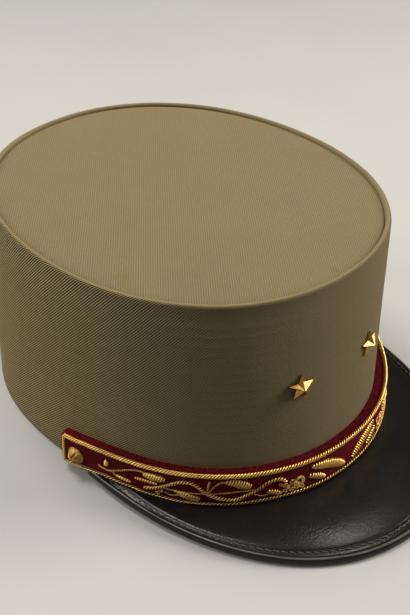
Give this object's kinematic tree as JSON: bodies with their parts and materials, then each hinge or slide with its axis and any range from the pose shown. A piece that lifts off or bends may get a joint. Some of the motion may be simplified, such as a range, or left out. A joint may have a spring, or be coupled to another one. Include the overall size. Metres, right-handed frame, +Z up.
{
  "type": "kepi cap",
  "caption": "Stiff cloth cap with a flat recessed top, a padded velvet band embroidered in gold, gilt stars and side buttons, and a short leather peak.",
  "frame": {"origin": "on the table under the middle of the whole cap, peak included", "axes": "+Z is up, the front and the peak point along -Y, +X is the wearer's left"},
  "size_m": [0.1796, 0.2498, 0.106],
  "materials": {
    "cloth": "khaki cotton twill, matt, with a fine diagonal rib",
    "velvet": "deep crimson cut velvet",
    "gold_thread": "twisted and coiled gilt embroidery wire",
    "gilt": "polished gilt brass",
    "leather": "black fine-grained leather, softly glossy, with a rolled and stitched edge"
  },
  "bodies": {
    "root": {"crown_wall": "cloth", "crown_top": "cloth", "velvet_band": "velvet", "band_cord_upper": "gold_thread", "band_cord_lower": "gold_thread", "peak": "leather", "scroll_spray_right": "gold_thread", "temple_spray_right": "gold_thread", "bud_right": "gold_thread", "low_leaf_right": "gold_thread", "flower_right": "gold_thread", "small_leaf_right": "gold_thread", "large_leaf_right": "gold_thread", "button_right": "gilt", "star_right": "gilt", "scroll_spray_left": "gold_thread", "temple_spray_left": "gold_thread", "bud_left": "gold_thread", "low_leaf_left": "gold_thread", "flower_left": "gold_thread", "small_leaf_left": "gold_thread", "large_leaf_left": "gold_thread", "button_left": "gilt", "star_left": "gilt"}
  },
  "joints": []
}
